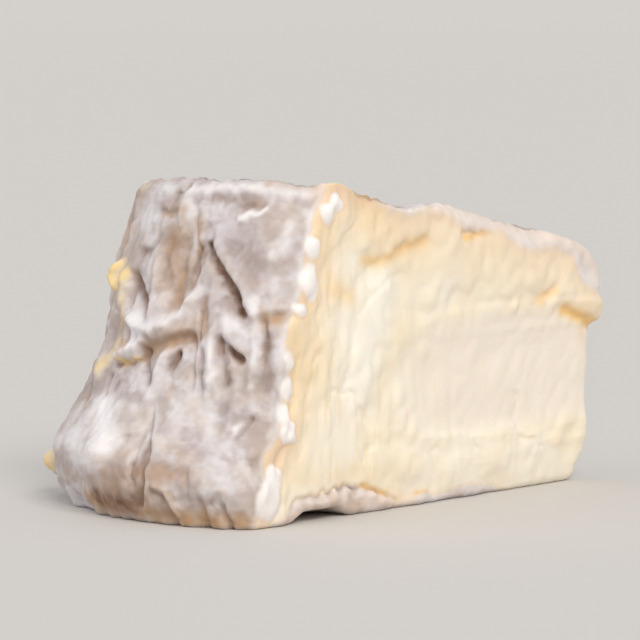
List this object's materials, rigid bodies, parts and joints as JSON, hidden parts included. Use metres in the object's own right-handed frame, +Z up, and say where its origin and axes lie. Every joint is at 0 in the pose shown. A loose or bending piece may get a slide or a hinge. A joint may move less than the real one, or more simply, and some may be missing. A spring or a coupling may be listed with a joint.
{
  "type": "cheese wedge",
  "caption": "Wedge of soft white-rinded triple-cream cheese cut from a slumped round wheel, lying on its base with its crumpled rind upright.",
  "frame": {"origin": "middle of the wedge's bounding box, on the flat underside that it rests on", "axes": "+X from the rind to the tip of the wedge, +Z up, the near cut faces -Y"},
  "size_m": [0.1298, 0.0752, 0.0695],
  "materials": {
    "cheese_wedge": "ripe cream paste and mould rind, slightly moist"
  },
  "bodies": {
    "root": {"cheese_wedge": "cheese_wedge"}
  },
  "joints": []
}
